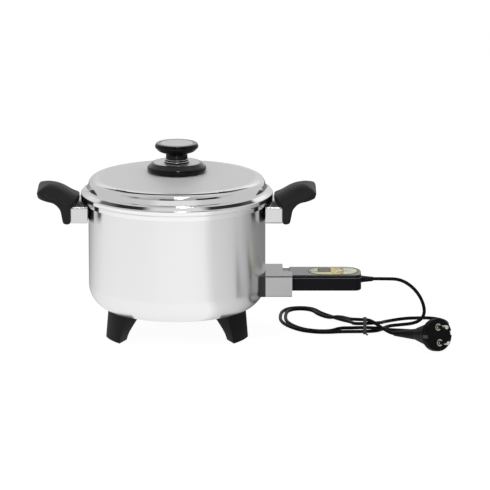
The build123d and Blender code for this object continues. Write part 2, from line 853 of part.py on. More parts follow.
face_plate -= extrude(Pos(0, 0, inside_top) * window_hole, head_height)
switches = []
switch_top = board_top + seat_gap + switch_height
for name, x, y, radius in buttons:
    hole = rod((x, y, inside_top - 1), (x, y, head_top + 1), radius + slide_gap)
    upper_shell -= hole
    face_plate -= hole
    button_bottom = switch_top + button_travel + slide_gap / 2
    flange_top = inside_top - slide_gap
    button = rod((x, y, button_bottom), (x, y, head_top + button_proud), radius)
    button = fillet(button.edges().sort_by(Axis.Z)[-1], 0.6)
    button += rod((x, y, flange_top - 1.0), (x, y, flange_top), radius + button_flange)
    save(name, button)
    half = switch_side / 2
    switches.append(block((x - half, y - half, board_top + seat_gap), (x + half, y + half, switch_top)))
save("controller_lower_shell", lower_shell)
save("controller_upper_shell", upper_shell)
save("face_plate", face_plate)
save("key_switches", group(switches))
save("display_window", extrude(Pos(0, 0, inside_top + seat_gap) * window_plan, head_top - inside_top - seat_gap))
module = Pos(window_x, window_shift) * Rectangle(window_length + 1.0, window_width + 3.0)
save("display_module", extrude(Pos(0, 0, board_top + seat_gap) * module, inside_top - board_top - 2 * seat_gap))

# Circuit board, relay and screws inside the head
board_start = head_start + (head_length - board_length) / 2 - board_shift
board = block(
    (board_start, -board_width / 2, board_bottom), (board_start + board_length, board_width / 2, board_top)
)
board &= extrude(Pos(0, 0, head_bottom) * offset(head_cavity, amount=-slide_gap), head_height)
head_screws = []
for x, y in head_screw_places:
    board -= rod((x, y, board_bottom - 1), (x, y, board_top + 1), head_screw_radius + slide_gap)
    screw = rod((x, y, head_bottom + 1.6), (x, y, inside_top - 1.2), head_screw_radius)
    screw += rod((x, y, head_bottom + 0.3), (x, y, head_bottom + 1.45), head_boss_radius - slide_gap)
    head_screws.append(screw + rod((x, y, head_bottom + 1), (x, y, head_bottom + 2), head_screw_radius))
save("control_board", board)
save("controller_screws", group(head_screws))
relay_top = board_bottom - seat_gap
relay_x = head_end - relay_from_end
save(
    "power_relay",
    block(
        (relay_x - relay_size[0] / 2, -relay_size[1] / 2, relay_top - relay_size[2]),
        (relay_x + relay_size[0] / 2, relay_size[1] / 2, relay_top),
    ),
)

# Nose, contact sleeves and probe rod
nose_end = head_start - seat_gap
nose_start = nose_end - nose_length
nose = block(
    (nose_start, -nose_width / 2, socket_z - nose_height / 2),
    (nose_end, nose_width / 2, socket_z + nose_height / 2),
)
nose = fillet(nose.edges().filter_by(Axis.X), 4.0)
contact_sleeves = []
for y in side_ys:
    nose -= rod((nose_start - 1, y, socket_z), (nose_end + 1, y, socket_z), sleeve_radius + seat_gap)
    contact_sleeves.append(
        sleeve((nose_start, y, socket_z), (nose_end, y, socket_z), sleeve_radius, pin_radius + running_gap)
    )
nose -= rod((nose_start - 1, 0, socket_z), (nose_end + 1, 0, socket_z), probe_radius + seat_gap)
save("controller_nose", nose)
save("contact_sleeves", group(contact_sleeves))
probe_end = head_start + head_wall
probe_tip = probe_end - probe_length
probe = rod((probe_tip, 0, socket_z), (probe_end, 0, socket_z), probe_radius)
save("probe_rod", fillet(probe.edges().sort_by(Axis.X)[0], probe_radius * 0.8))

# Strain relief: a ribbed cone with a collar inside the wall
relief_root = head_end
relief_tip = head_end + relief_length
relief = rod((relief_root, 0, relief_z), (relief_tip, 0, relief_z), relief_root_radius - seat_gap, relief_tip_radius)
relief += rod(
    (relief_root - head_wall - 1.5, 0, relief_z), (relief_root, 0, relief_z), relief_root_radius - seat_gap
)
relief += rod(
    (relief_root - head_wall - 2.0, 0, relief_z),
    (relief_root - head_wall - seat_gap, 0, relief_z),
    relief_root_radius + 1.2,
)
save("strain_relief", relief)

# Lead: straight runs joined by arcs as large as the runs allow
lead_exit = [(relief_tip, 0.0, relief_z), (relief_tip + relief_length, 0.0, relief_z)]
lead_points = lead_exit + lead_route


def bend_radii(points):
    """Largest arc at each inner point: 0.45 of the shorter run, over the tangent of half the turn."""
    radii = []
    for a, b, c in zip(points, points[1:], points[2:]):
        into = Vector(*b) - Vector(*a)
        out = Vector(*c) - Vector(*b)
        half_turn = math.radians(into.get_angle(out)) / 2
        radii.append(0.45 * min(into.length, out.length) / math.tan(half_turn))
    return radii


lead_radii = bend_radii(lead_points)
lead_path = FilletPolyline(*lead_points, radius=lead_radii)
lead_start = Plane(origin=lead_path @ 0, z_dir=lead_path % 0)
lead = sweep(lead_start * Circle(cord_diameter / 2), path=lead_path)
cord_area = math.pi * cord_diameter ** 2 / 4
print("lead radii", [round(r, 1) for r in lead_radii])
print("lead length", round(lead_path.length, 1), "volume ratio", round(lead.volume / cord_area / lead_path.length, 4))
save("mains_lead", lead)

# Hank: near lobes and a far loop, drawn in at the waist where the strands are tied in a stack
plug_way = (Vector(*plug_face) - Vector(*boot_tip)).normalized()
lead_way = (Vector(*lead_points[-1]) - Vector(*lead_points[-2])).normalized()


def waist(level):
    return (waist_x, waist_y, waist_rest + level * stack_step)


def stacked(place, way, lean):
    """Second strand of a pair: moved inside the lobe by the lean's cosine and up by its sine."""
    inside = Vector(way[1], -way[0], 0).normalized()
    shift = inside * (strand_step * math.cos(math.radians(lean)))
    lift = strand_step * math.sin(math.radians(lean))
    return (place[0] + shift.X, place[1] + shift.Y, place[2] + lift)


lobe_tip_x = waist_x - lobe_reach
lobe_front_x = waist_x - lobe_front_reach
lobe_rear_x = waist_x - lobe_rear_reach
far_loop_tip_x = waist_x + far_loop_reach
near_lobe = [
    ((lobe_front_x + 24, waist_y, waist_rest), (-1, 0, 0), 29),
    ((lobe_front_x, lobe_front_y, cord_rest), (-1, 0, 0), 0),
    ((lobe_tip_x, lobe_tip_y, cord_rest), (0, 1, 0), 0),
    ((lobe_rear_x, lobe_rear_y, cord_rest), (1, 0, 0), 0),
    ((lobe_rear_x + 35, lobe_rear_y - 41, cord_rest), (0.57, -0.82, 0), 0),
    ((waist_x - 23, waist_y + 50, cord_rest + 2.4), (0.42, -0.9, 0.12), 50),
]
far_loop = [
    ((waist_x + 42, far_loop_rear_y - 8, cord_rest), (0.82, 0.57, 0)),
    ((waist_x + 75, far_loop_rear_y, cord_rest), (1, 0, 0)),
    ((far_loop_tip_x, far_loop_tip_y, cord_rest), (0, -1, 0)),
    ((waist_x + 75, 1.0, cord_rest), (-0.95, -0.3, 0)),
    ((waist_x + 38, -1.5, cord_rest + 1.4), (-1, -0.12, 0.07)),
]
hank_nodes = [(lead_points[-1], lead_way)]
hank_nodes.append((tuple(Vector(*lead_points[-1]) + lead_way * cord_diameter), lead_way))
for turn in range(hank_turns):
    if turn:
        hank_nodes += far_loop
    hank_nodes.append((waist(turn), (-1, 0, 0)))
    for place, way, lean in near_lobe:
        hank_nodes.append((stacked(place, way, lean) if turn else place, way))
    hank_nodes.append((waist(hank_turns + turn), (1, -0.12 if turn else 0.24, 0)))
boot_end = Vector(*boot_tip)
hank_nodes.append(((waist_x + 24, waist_y - 3.0, waist_rest + 3.0), (0.85, -0.35, -0.5)))
hank_nodes.append((tuple(boot_end - plug_way * cord_diameter), plug_way))
hank_nodes.append((tuple(boot_end), plug_way))


def reach_to(start, end, way):
    """Arc from a point along a heading, or a straight line where the end lies on the heading."""
    if (end - start).normalized().dot(way) > 1 - 1e-7:
        return Line(start, end)
    return TangentArc(start, end, tangent=way)


def biarc(start, start_way, end, end_way):
    """Two tangent arcs, or one straight line, between two points with given headings."""
    start, end = Vector(*start), Vector(*end)
    start_way, end_way = Vector(*start_way).normalized(), Vector(*end_way).normalized()
    chord = end - start
    if chord.normalized().dot(start_way) > 1 - 1e-9:
        return [Line(start, end)]
    ways = start_way + end_way
    a = 2 * (1 - start_way.dot(end_way))
    b = 2 * chord.dot(ways)
    c = -chord.dot(chord)
    if a < 1e-9:
        reach = -c / b
    else:
        reach = (-b + math.sqrt(b * b - 4 * a * c)) / (2 * a)
    middle = (start + start_way * reach + end - end_way * reach) / 2
    middle_way = (end - end_way * reach - start - start_way * reach).normalized()
    return [reach_to(start, middle, start_way), reach_to(middle, end, middle_way)]


hank_edges = []
for (start, start_way), (end, end_way) in zip(hank_nodes, hank_nodes[1:]):
    hank_edges += biarc(start, start_way, end, end_way)
hank_path = Wire([edge.edge() for edge in hank_edges])
hank_start = Plane(origin=Vector(*hank_nodes[0][0]), z_dir=lead_way)
hank = sweep(hank_start * Circle(cord_diameter / 2), path=hank_path)


def least_self_gap(path, step):
    """Least clear space between stretches of the cord that are not neighbours along it."""
    count = int(path.length / step)
    points = [path @ (i / count) for i in range(count + 1)]
    skip = int(4 * cord_diameter / step)
    pairs = ((i, j) for i in range(count + 1) for j in range(i + skip, count + 1))
    return min((points[i] - points[j]).length for i, j in pairs) - cord_diameter


print("hank length", round(hank_path.length, 1), "volume ratio", round(hank.volume / cord_area / hank_path.length, 4))
print("hank least self gap", round(least_self_gap(hank_path, 2.0), 2))
bends = [edge.edge() for edge in hank_edges]
print("hank least bend", round(min(e.radius for e in bends if e.geom_type == GeomType.CIRCLE), 1))
save("cord_hank", hank)

# Tie round the stacked strands, with its twisted end
tie_half = cord_diameter / 2 + 0.4
tie_side = cord_diameter / 2 + 0.8
tie_top = waist_rest + (2 * hank_turns - 1) * stack_step + tie_half
tie_low = waist_rest - tie_half
tie_hole = outline(
    (waist_y - tie_side, tie_low, 1.5),
    (waist_y + tie_side, tie_low, 1.5),
    (waist_y + tie_side, tie_top, 1.5),
    (waist_y - tie_side, tie_top, 1.5),
)
tie = prism(Plane.YZ.offset(waist_x), offset(tie_hole, amount=tie_thickness), tie_width / 2)
tie -= prism(Plane.YZ.offset(waist_x), tie_hole, tie_width)
twist_y = waist_y - tie_side - tie_thickness
tie += rod((waist_x, twist_y + 0.3, 2.2), (waist_x + 3, twist_y - 5.5, 1.3), 1.0)
save("cord_tie", tie)

# Plug: a round moulded body with slots for the earth clips, and a tapered boot
plug_plane = Plane(origin=plug_face, x_dir=Vector(0, 0, 1).cross(plug_way), z_dir=plug_way)
plug_side = Vector(1, 0)
body = plug_plane * revolve(
    Plane.XZ
    * outline(
        (0, -plug_body_length),
        (plug_neck_radius, -plug_body_length),
        (plug_neck_radius + 1.5, -plug_body_length + 4, 6.0),
        (plug_radius - 5.5, -plug_rim - 9.0, 10.0),
        (plug_radius - 2.0, -plug_rim, 1.5),
        (plug_radius, -plug_rim, 1.0),
        (plug_radius, 0, 1.5),
        (0, 0),
    ),
    Axis.Z,
)
slot_low = plug_radius - earth_slot_depth
clips = []
for side in (-1, 1):
    slot = Pos(side * (slot_low + 5), 0, -plug_rim / 2) * Box(10, earth_slot_width, plug_rim * 3)
    body -= plug_plane * slot
    clip = Pos(side * (slot_low + earth_strip / 2 + seat_gap), 0, -plug_rim / 2)
    clips.append(plug_plane * clip * Box(earth_strip, earth_slot_width - 1, plug_rim))
plug_pins = []
low = (Align.CENTER, Align.CENTER, Align.MIN)
for side in (-1, 1):
    pin_place = plug_plane * Pos(0, side * plug_pin_pitch / 2, 0)
    pin_root = pin_place * Pos(0, 0, -plug_pin_sink)
    body -= pin_root * Cylinder(plug_pin_root_radius + seat_gap, plug_pin_sink + 1, align=low)
    pin = Cylinder(plug_pin_radius, plug_pin_length - plug_pin_shoulder, align=low)
    pin = fillet(pin.edges().sort_by(Axis.Z)[-1], plug_pin_radius * 0.7)
    root = Cylinder(plug_pin_root_radius, plug_pin_sink + plug_pin_shoulder + 1 - seat_gap, align=low)
    plug_pins.append(pin_place * Pos(0, 0, plug_pin_shoulder) * pin + pin_root * Pos(0, 0, seat_gap) * root)
save("plug_body", body)
save("plug_pins", group(plug_pins))
save("earth_clips", group(clips))
boot_root = Vector(*plug_face) - plug_way * (plug_body_length + seat_gap)
boot = rod(tuple(boot_end), tuple(boot_root), boot_tip_radius, plug_neck_radius)
save("plug_boot", boot)
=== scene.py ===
"""Dressing of the electric cooking pot: finishes, cord, small visible details, studio and camera."""
import math

import bpy
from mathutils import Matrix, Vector


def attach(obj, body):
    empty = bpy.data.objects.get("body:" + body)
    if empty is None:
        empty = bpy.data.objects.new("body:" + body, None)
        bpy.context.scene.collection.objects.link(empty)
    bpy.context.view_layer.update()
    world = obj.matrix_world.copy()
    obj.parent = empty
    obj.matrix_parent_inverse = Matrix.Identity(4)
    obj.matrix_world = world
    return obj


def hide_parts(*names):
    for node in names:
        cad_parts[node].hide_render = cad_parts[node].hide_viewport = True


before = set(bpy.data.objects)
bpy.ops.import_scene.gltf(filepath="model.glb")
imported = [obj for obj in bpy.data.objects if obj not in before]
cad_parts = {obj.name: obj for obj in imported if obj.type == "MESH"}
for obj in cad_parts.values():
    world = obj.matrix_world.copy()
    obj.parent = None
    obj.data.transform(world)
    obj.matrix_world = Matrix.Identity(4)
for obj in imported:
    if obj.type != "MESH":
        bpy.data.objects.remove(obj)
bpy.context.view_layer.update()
scene = bpy.context.scene
scene.view_settings.view_transform = "Standard"
for thing in list(bpy.context.selected_objects):
    thing.select_set(False)

MM = 0.001


def grey(value):
    return (value, value, value)


def opaque(value):
    """A grey with full cover, as the colour sockets take it."""
    return (*grey(value), 1)


class Val:
    """One number socket of a node tree; arithmetic on it adds Math nodes."""

    def __init__(self, shader, socket):
        self.shader = shader
        self.socket = socket

    def _math(self, operation, *values):
        return self.shader.node("ShaderNodeMath", {"operation": operation}, *values)

    def __add__(self, other):
        return self._math("ADD", self, other)

    __radd__ = __add__

    def __mul__(self, other):
        return self._math("MULTIPLY", self, other)

    __rmul__ = __mul__

    def __sub__(self, other):
        return self._math("SUBTRACT", self, other)

    def __rsub__(self, other):
        return self._math("SUBTRACT", other, self)

    def __truediv__(self, other):
        return self._math("DIVIDE", self, other)

    def size(self):
        return self._math("ABSOLUTE", self)

    def root(self):
        return self._math("SQRT", self)

    def angle(self, ahead):
        """Angle, in radians, of a point that lies this far to the side and so far ahead."""
        return self._math("ARCTAN2", self, ahead)

    def above(self, level):
        return self._math("GREATER_THAN", self, level)

    def between(self, low, high):
        return self.above(low) * (1 - self.above(high))

    def top(self, other):
        return self._math("MAXIMUM", self, other)

    def ramp(self, stops):
        """Grey level read from stops of place and level."""
        levels = [(place, grey(level)) for place, level in stops]
        return self.shader.node("ShaderNodeValToRGB", {"stops": levels}, self)

    def slide(self, start, end, first=0.0, last=1.0):
        """Value that goes from first to last while this one goes from start to end."""
        return self.shader.node("ShaderNodeMapRange", None, self, start, end, first, last)


class Shader:
    """A node tree under construction."""

    def __init__(self, tree):
        self.tree = tree
        tree.nodes.clear()

    def fill(self, socket, value):
        """Link a value to a socket, or set the socket's own value."""
        if isinstance(value, Val):
            self.tree.links.new(value.socket, socket)
        else:
            socket.default_value = value

    def node(self, kind, settings=None, *values, out=0, **named):
        """Add a node: its settings first, then values or links for its sockets, by order or name."""
        made = self.tree.nodes.new(kind)
        for key, value in (settings or {}).items():
            if key == "stops":
                ramp = made.color_ramp
                while len(ramp.elements) < len(value):
                    ramp.elements.new(1.0)
                for stop, (place, colour) in zip(ramp.elements, value):
                    stop.position = place
                    stop.color = (*colour, 1)
            else:
                setattr(made, key, value)
        for key, value in list(enumerate(values)) + list(named.items()):
            self.fill(made.inputs[key], value)
        return Val(self, made.outputs[out]) if made.outputs else None

    def blend(self, factor, first, second):
        """Colour between the first, at factor 0, and the second, at factor 1."""
        made = self.tree.nodes.new("ShaderNodeMix")
        made.data_type = "RGBA"
        for place, value in ((0, factor), (6, first), (7, second)):
            self.fill(made.inputs[place], value)
        return Val(self, made.outputs[2])


def new_material(name):
    """An empty material and its node tree."""
    material = bpy.data.materials.new(name)
    material.use_nodes = True
    return material, Shader(material.node_tree)


def parts_of(shader, vector):
    """The three numbers of a vector."""
    split = shader.node("ShaderNodeSeparateXYZ", None, vector).socket.node
    return [Val(shader, split.outputs[axis]) for axis in "XYZ"]


def rays(shader):
    """Whether a ray comes from the camera, from a reflection or through something clear."""
    path = shader.node("ShaderNodeLightPath").socket.node
    return [Val(shader, path.outputs[f"Is {kind} Ray"]) for kind in ("Camera", "Glossy", "Transmission")]


def in_object(shader):
    """Object coordinates, in metres."""
    return shader.node("ShaderNodeTexCoord", out="Object")


def noise(shader, size, stretch=(1, 1, 1)):
    """Noise between about 0.3 and 0.7 with grains of the given size in metres, stretched along the axes."""
    place = shader.node("ShaderNodeMapping", None, Vector=in_object(shader), Scale=stretch)
    return shader.node("ShaderNodeTexNoise", None, out="Fac", Vector=place, Scale=1 / size, Detail=2.0)


def from_axis(shader):
    """Distance from the pot's axis, in metres."""
    across, along, _ = parts_of(shader, in_object(shader))
    return (across * across + along * along).root()


def share_of_turn(angle):
    """An angle from -pi to pi as a share of the full turn, from 0 to 1."""
    return angle * (0.5 / math.pi) + 0.5


BUMP_DEPTH = 0.0005
MOTTLE_STOPS = 0.3, 0.7
BRUSHED_ROUND = 0.25
SATIN_FADE_INSIDE, SATIN_FADE_OUTSIDE = 0.004, 0.001
GLOSS_START, GLOSS_FULL = 0.5, 0.95


def surface(
    name,
    colour,
    rough,
    metallic=0.0,
    spread=0.1,
    grain=0.002,
    stretch=(1, 1, 1),
    bump=0.0,
    specular=0.5,
    coat=0.0,
    coat_rough=0.05,
    mottle=0.0,
    brushed=0.0,
    satin_within=None,
):
    """A finish: one colour with a little mottle, and a roughness that wanders by the spread.

    A coat lies on faces that look up. Within a radius the finish can be satin, given as that radius,
    the roughness, the share of metal and the shade.
    """
    material, shader = new_material(name)
    pattern = noise(shader, grain, stretch)
    base = (*colour, 1)
    if mottle:
        darker = tuple(c * (1 - mottle) for c in colour)
        lighter = tuple(min(1, c * (1 + mottle)) for c in colour)
        stops = list(zip(MOTTLE_STOPS, (darker, lighter)))
        base = shader.node("ShaderNodeValToRGB", {"stops": stops}, pattern)
    if satin_within:
        radius, satin, metal_share, shade = satin_within
        polished = from_axis(shader).slide(radius - SATIN_FADE_INSIDE, radius + SATIN_FADE_OUTSIDE)
        rough = satin + polished * (rough - satin)
        metallic = metal_share + polished * (metallic - metal_share)
        base = shader.blend(polished, opaque(shade), base)
    if coat:
        facing = shader.node("ShaderNodeNewGeometry", out="Normal")
        coat = parts_of(shader, facing)[2].slide(GLOSS_START, GLOSS_FULL, 0.0, coat)
    settings = {
        "Base Color": base,
        "Metallic": metallic,
        "Roughness": rough + spread * (pattern - 0.5),
        "Specular IOR Level": specular,
        "Coat Weight": coat,
        "Coat Roughness": coat_rough,
    }
    if brushed:
        settings["Anisotropic"] = brushed
        settings["Anisotropic Rotation"] = BRUSHED_ROUND
    if bump:
        settings["Normal"] = shader.node(
            "ShaderNodeBump", None, out="Normal", Strength=bump, Distance=BUMP_DEPTH, Height=pattern
        )
    skin = shader.node("ShaderNodeBsdfPrincipled", None, **settings)
    shader.node("ShaderNodeOutputMaterial", None, skin)
    return material


def metal(name, colour, rough, **more):
    """A bare metal finish."""
    return surface(name, colour, rough, metallic=1.0, **more)


FACE_START, FACE_END = 0.160, 0.222
FLECKS_START, FLECKS_END = 0.188, 0.200
FLECK_FAINT, FLECK_FULL = 0.50, 0.58
FLECK_GOLD = (0.72, 0.58, 0.22, 1)
FACE_ROUGH, FACE_SPREAD, FACE_GRAIN = 0.38, 0.1, 0.0035


def face_finish():
    """Gold face plate: pale at both ends, brown and gold with bright flecks beside the display."""
    material, shader = new_material("gold_plate")
    along_plate = parts_of(shader, in_object(shader))[0]
    pale, cream = (0.48, 0.50, 0.36), (0.60, 0.57, 0.33)
    gold, brown = (0.46, 0.36, 0.13), (0.22, 0.165, 0.06)
    stops = [
        (0.02, pale),
        (0.18, cream),
        (0.44, cream),
        (0.50, gold),
        (0.56, gold),
        (0.61, brown),
        (0.67, brown),
        (0.73, pale),
        (1.0, pale),
    ]
    zones = shader.node("ShaderNodeValToRGB", {"stops": stops}, along_plate.slide(FACE_START, FACE_END))
    pattern = noise(shader, FACE_GRAIN)
    flecks = pattern.slide(FLECK_FAINT, FLECK_FULL) * along_plate.between(FLECKS_START, FLECKS_END)
    settings = {
        "Base Color": shader.blend(flecks, zones, FLECK_GOLD),
        "Roughness": FACE_ROUGH + FACE_SPREAD * (pattern - 0.5),
        "Specular IOR Level": 0.12,
    }
    skin = shader.node("ShaderNodeBsdfPrincipled", None, **settings)
    shader.node("ShaderNodeOutputMaterial", None, skin)
    return material


def dress(material, *nodes):
    for name in nodes:
        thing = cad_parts[name]
        thing.data.materials.clear()
        thing.data.materials.append(material)


# Finishes
LID_SATIN = (0.099, 0.55, 0.6, 0.70)
WALL_GRAIN = (0.3, 0.3, 8)
GUARD_GRAIN = (1, 1, 0.15)
wall_steel = metal("wall_steel", grey(0.85), 0.24, spread=0.06, grain=0.004, stretch=WALL_GRAIN, brushed=0.85)
rim_steel = metal("rim_steel", grey(0.86), 0.08, spread=0.03, grain=0.02)
lid_steel = metal("lid_steel", grey(0.86), 0.05, spread=0.02, grain=0.01, satin_within=LID_SATIN)
ferrule_steel = metal("ferrule_steel", grey(0.66), 0.22, spread=0.06)
satin_steel = metal("satin_steel", grey(0.46), 0.34, grain=0.0015, stretch=GUARD_GRAIN)
trim_steel = metal("trim_steel", grey(0.74), 0.30, spread=0.04, grain=0.004)
zinc_steel = metal("zinc_steel", (0.60, 0.61, 0.62), 0.32, spread=0.12)
tube_steel = metal("tube_steel", (0.50, 0.49, 0.47), 0.36, spread=0.12, grain=0.003)
nickel = metal("nickel_plate", (0.74, 0.71, 0.65), 0.18, spread=0.06)
dull_clip = metal("dull_clip", grey(0.10), 0.4, spread=0.08)
cast_plate = metal("cast_aluminium", grey(0.74), 0.42, spread=0.12, bump=0.1)
handle_black = surface("handle_black", grey(0.010), 0.42, grain=0.0012, bump=0.05, mottle=0.1, specular=0.16)
foot_black = surface("foot_black", grey(0.009), 0.5, grain=0.0012, bump=0.05, mottle=0.1, specular=0.06)
knob_black = surface(
    "knob_black", grey(0.003), 0.08, spread=0.03, grain=0.003, specular=0.16, coat=1.0, coat_rough=0.1
)
head_black = surface(
    "head_black", (0.0045, 0.0042, 0.0065), 0.28, spread=0.08, specular=0.08, coat=1.0, coat_rough=0.16
)
gold_plate = face_finish()
window_tint = surface("window_tint", (0.115, 0.10, 0.06), 0.12, spread=0.04, grain=0.003, specular=0.1)
module_grey = surface("module_grey", (0.16, 0.15, 0.10), 0.4, grain=0.001)
cream_plastic = surface("cream_plastic", (0.78, 0.80, 0.62), 0.36, grain=0.001, mottle=0.05, specular=0.3)
board_green = surface("board_green", (0.02, 0.12, 0.05), 0.35, mottle=0.2)
part_black = surface("part_black", grey(0.03), 0.45, grain=0.001)
white_ceramic = surface("white_ceramic", (0.82, 0.80, 0.75), 0.3, grain=0.001, mottle=0.04)
grey_silicone = surface("grey_silicone", grey(0.35), 0.55, grain=0.001)
pressed_wool = surface("pressed_wool", (0.55, 0.46, 0.28), 0.9, grain=0.001, bump=0.6, mottle=0.3)
cord_black = surface("cord_black", grey(0.003), 0.40, bump=0.05, specular=0.09)
plug_black = surface("plug_black", grey(0.003), 0.46, spread=0.12, grain=0.0015, bump=0.08, specular=0.08)
outline_black = surface("outline_black", grey(0.006), 0.3, spread=0.08, specular=0.15)
border_cream = surface("border_cream", (0.62, 0.60, 0.42), 0.4, specular=0.2)
mark_yellow = surface("mark_yellow", (0.80, 0.70, 0.34), 0.4, specular=0.15)
mark_dark = surface("mark_dark", (0.05, 0.05, 0.045), 0.5, specular=0.2)
# Painted highlight: a grey lighter than the head's black, for the light line along the head's parting edge
highlight_bead_grey = surface("highlight_bead_grey", (0.10, 0.10, 0.115), 0.25, spread=0.06)
seal_grey = surface("seal_grey", grey(0.028), 0.5, specular=0.2)

dress(wall_steel, "outer_jacket")
dress(rim_steel, "inner_pot")
dress(ferrule_steel, "left_ferrule", "right_ferrule")
dress(lid_steel, "lid_pan", "lid_seat_ring")
dress(satin_steel, "socket_guard", "base_cover")
dress(trim_steel, "knob_disc", "knob_ring_plate")
dress(zinc_steel, "base_cover_screws", "foot_screws", "foot_inserts", "handle_bolts", "handle_bosses")
dress(zinc_steel, "guard_screws", "guard_spacers", "controller_screws")
dress(tube_steel, "heating_element", "probe_well", "probe_rod", "lid_stem", "stem_washer", "stem_nut")
dress(nickel, "terminal_pins", "contact_sleeves", "plug_pins")
dress(dull_clip, "earth_clips")
dress(cast_plate, "heat_spreader")
dress(handle_black, "left_grip", "right_grip")
dress(foot_black, "rear_foot", "front_left_foot", "front_right_foot")
dress(knob_black, "vent_knob", "knob_skirt")
dress(head_black, "controller_lower_shell", "controller_upper_shell", "controller_nose", "strain_relief")
dress(gold_plate, "face_plate")
dress(window_tint, "display_window")
dress(module_grey, "display_module")
dress(cream_plastic, "power_button", "plus_button", "timer_button", "minus_button", "mode_button")
dress(board_green, "control_board")
dress(part_black, "power_relay", "key_switches", "cord_tie")
dress(white_ceramic, "pin_bushes")
dress(grey_silicone, "rim_gasket")
dress(pressed_wool, "insulation_sleeve")
dress(cord_black, "mains_lead", "cord_hank")
dress(plug_black, "plug_boot", "plug_body")

# Cord: from the strain relief down to the floor, twice round the tied hank and into the plug's boot
CORD_DIAMETER = 4.2
CORD_ROUTE = [
    (239.95, 0.00, 67.90),
    (254.95, 0.00, 67.90),
    (272.5, 4.0, 66.5),
    (287.0, 9.5, 57.0),
    (297.5, 16.0, 43.5),
    (303.5, 23.0, 28.5),
    (304.5, 29.0, 15.5),
    (298.5, 34.0, 6.0),
    (288.0, 36.0, 2.2),
    (278.0, 32.2, 2.2),
    (258.0, 24.6, 2.2),
    (250.2, 1.0, 2.9),
    (236.9, -7.7, 3.2),
    (200.0, -8.0, 3.2),
    (188.0, -7.5, 2.2),
    (168.8, -7.5, 2.2),
    (146.3, 6.2, 2.2),
    (127.0, 43.4, 2.2),
    (127.0, 88.1, 2.2),
    (133.4, 110.4, 2.2),
    (144.9, 119.0, 2.2),
    (158.9, 119.0, 2.2),
    (170.3, 111.2, 2.2),
    (178.3, 90.5, 2.2),
    (192.9, 69.5, 2.2),
    (202.7, 51.3, 3.4),
    (215.0, 24.9, 6.9),
    (215.8, 3.5, 10.6),
    (225.0, -6.2, 12.7),
    (240.2, -5.6, 13.2),
    (253.0, 10.7, 10.1),
    (252.3, 44.3, 2.2),
    (279.1, 63.0, 2.2),
    (296.3, 66.0, 2.2),
    (317.0, 66.0, 2.2),
    (333.0, 48.0, 2.2),
    (333.0, 23.6, 2.2),
    (316.8, 4.7, 2.2),
    (296.0, -1.8, 2.2),
    (277.3, -0.4, 2.9),
    (258.3, -2.7, 4.3),
    (239.8, -8.0, 8.2),
    (223.6, -8.0, 8.2),
    (212.4, -2.3, 6.4),
    (199.8, -2.3, 6.4),
    (188.2, -1.0, 2.2),
    (170.1, -1.0, 2.2),
    (149.9, 11.7, 2.2),
    (133.5, 46.0, 2.2),
    (133.5, 85.6, 2.2),
    (137.3, 104.2, 2.2),
    (146.1, 112.5, 2.2),
    (158.2, 112.5, 2.2),
    (168.1, 105.1, 2.2),
    (173.7, 85.7, 2.2),
    (187.6, 65.8, 2.2),
    (198.9, 49.5, 8.3),
    (210.0, 25.6, 11.5),
    (212.8, 2.8, 16.3),
    (222.9, -7.1, 18.2),
    (237.0, -8.8, 18.2),
    (248.3, -8.6, 9.6),
    (262.1, -16.7, 3.1),
    (266.4, -23.0, 4.5),
]

line = bpy.data.curves.new("mains_cord", "CURVE")
line.dimensions = "3D"
line.bevel_depth = CORD_DIAMETER / 2 * MM
line.bevel_resolution = 4
line.resolution_u = 8
line.use_fill_caps = True
spline = line.splines.new("NURBS")
spline.points.add(len(CORD_ROUTE) - 1)
for point, place in zip(spline.points, CORD_ROUTE):
    point.co = (place[0] * MM, place[1] * MM, place[2] * MM, 1)
spline.order_u = 3
spline.use_endpoint_u = True
cord = bpy.data.objects.new("mains_cord", line)
scene.collection.objects.link(cord)
cord.data.materials.append(cord_black)
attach(cord, "control_head")
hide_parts("mains_lead", "cord_hank")

# Small visible pieces, modelled in place; their sizes are in millimetres
MERGE_DISTANCE = 0.001
SWELL_SPOT = 2.5
PICK_SLACK = 0.1
ROUND_STEPS = 96
CREASE_ANGLE = math.radians(35)
BAR_BEVEL = 0.2


def start(name, add, **how):
    """A primitive added with nothing else selected."""
    bpy.ops.object.select_all(action="DESELECT")
    add(**how)
    piece = bpy.context.object
    piece.name = name
    return piece


def settle(piece):
    """Move the piece's place, turn and size into its mesh."""
    bpy.ops.object.transform_apply(location=True, rotation=True, scale=True)
    return piece


def pick_corners(piece, test):
    """Go to edit mode with only the corners that pass the test selected."""
    bpy.ops.object.mode_set(mode="OBJECT")
    for group in (piece.data.polygons, piece.data.edges, piece.data.vertices):
        for item in group:
            item.select = False
    for corner in piece.data.vertices:
        corner.select = test(corner.co)
    bpy.ops.object.mode_set(mode="EDIT")
    bpy.ops.mesh.select_mode(type="VERT")


def apply_modifier(piece, kind, **settings):
    modifier = piece.modifiers.new(kind.lower(), kind)
    for key, value in settings.items():
        setattr(modifier, key, value)
    bpy.ops.object.modifier_apply(modifier=modifier.name)


def hand_in(piece, material, body):
    """Finish a piece: its faces outwards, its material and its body."""
    bpy.ops.object.mode_set(mode="EDIT")
    bpy.ops.mesh.select_all(action="SELECT")
    bpy.ops.mesh.normals_make_consistent(inside=False)
    bpy.ops.object.mode_set(mode="OBJECT")
    bpy.ops.object.shade_smooth_by_angle(angle=CREASE_ANGLE)
    piece.data.materials.clear()
    piece.data.materials.append(material)
    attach(piece, body)


def join(pieces):
    bpy.ops.object.select_all(action="DESELECT")
    for piece in pieces:
        piece.select_set(True)
    bpy.context.view_layer.objects.active = pieces[0]
    bpy.ops.object.join()
    return bpy.context.object


def box(name, middle, size):
    """A box given by its middle and its three sizes."""
    piece = start(name, bpy.ops.mesh.primitive_cube_add, size=1, location=Vector(middle) * MM)
    piece.scale = Vector(size) * MM
    return settle(piece)


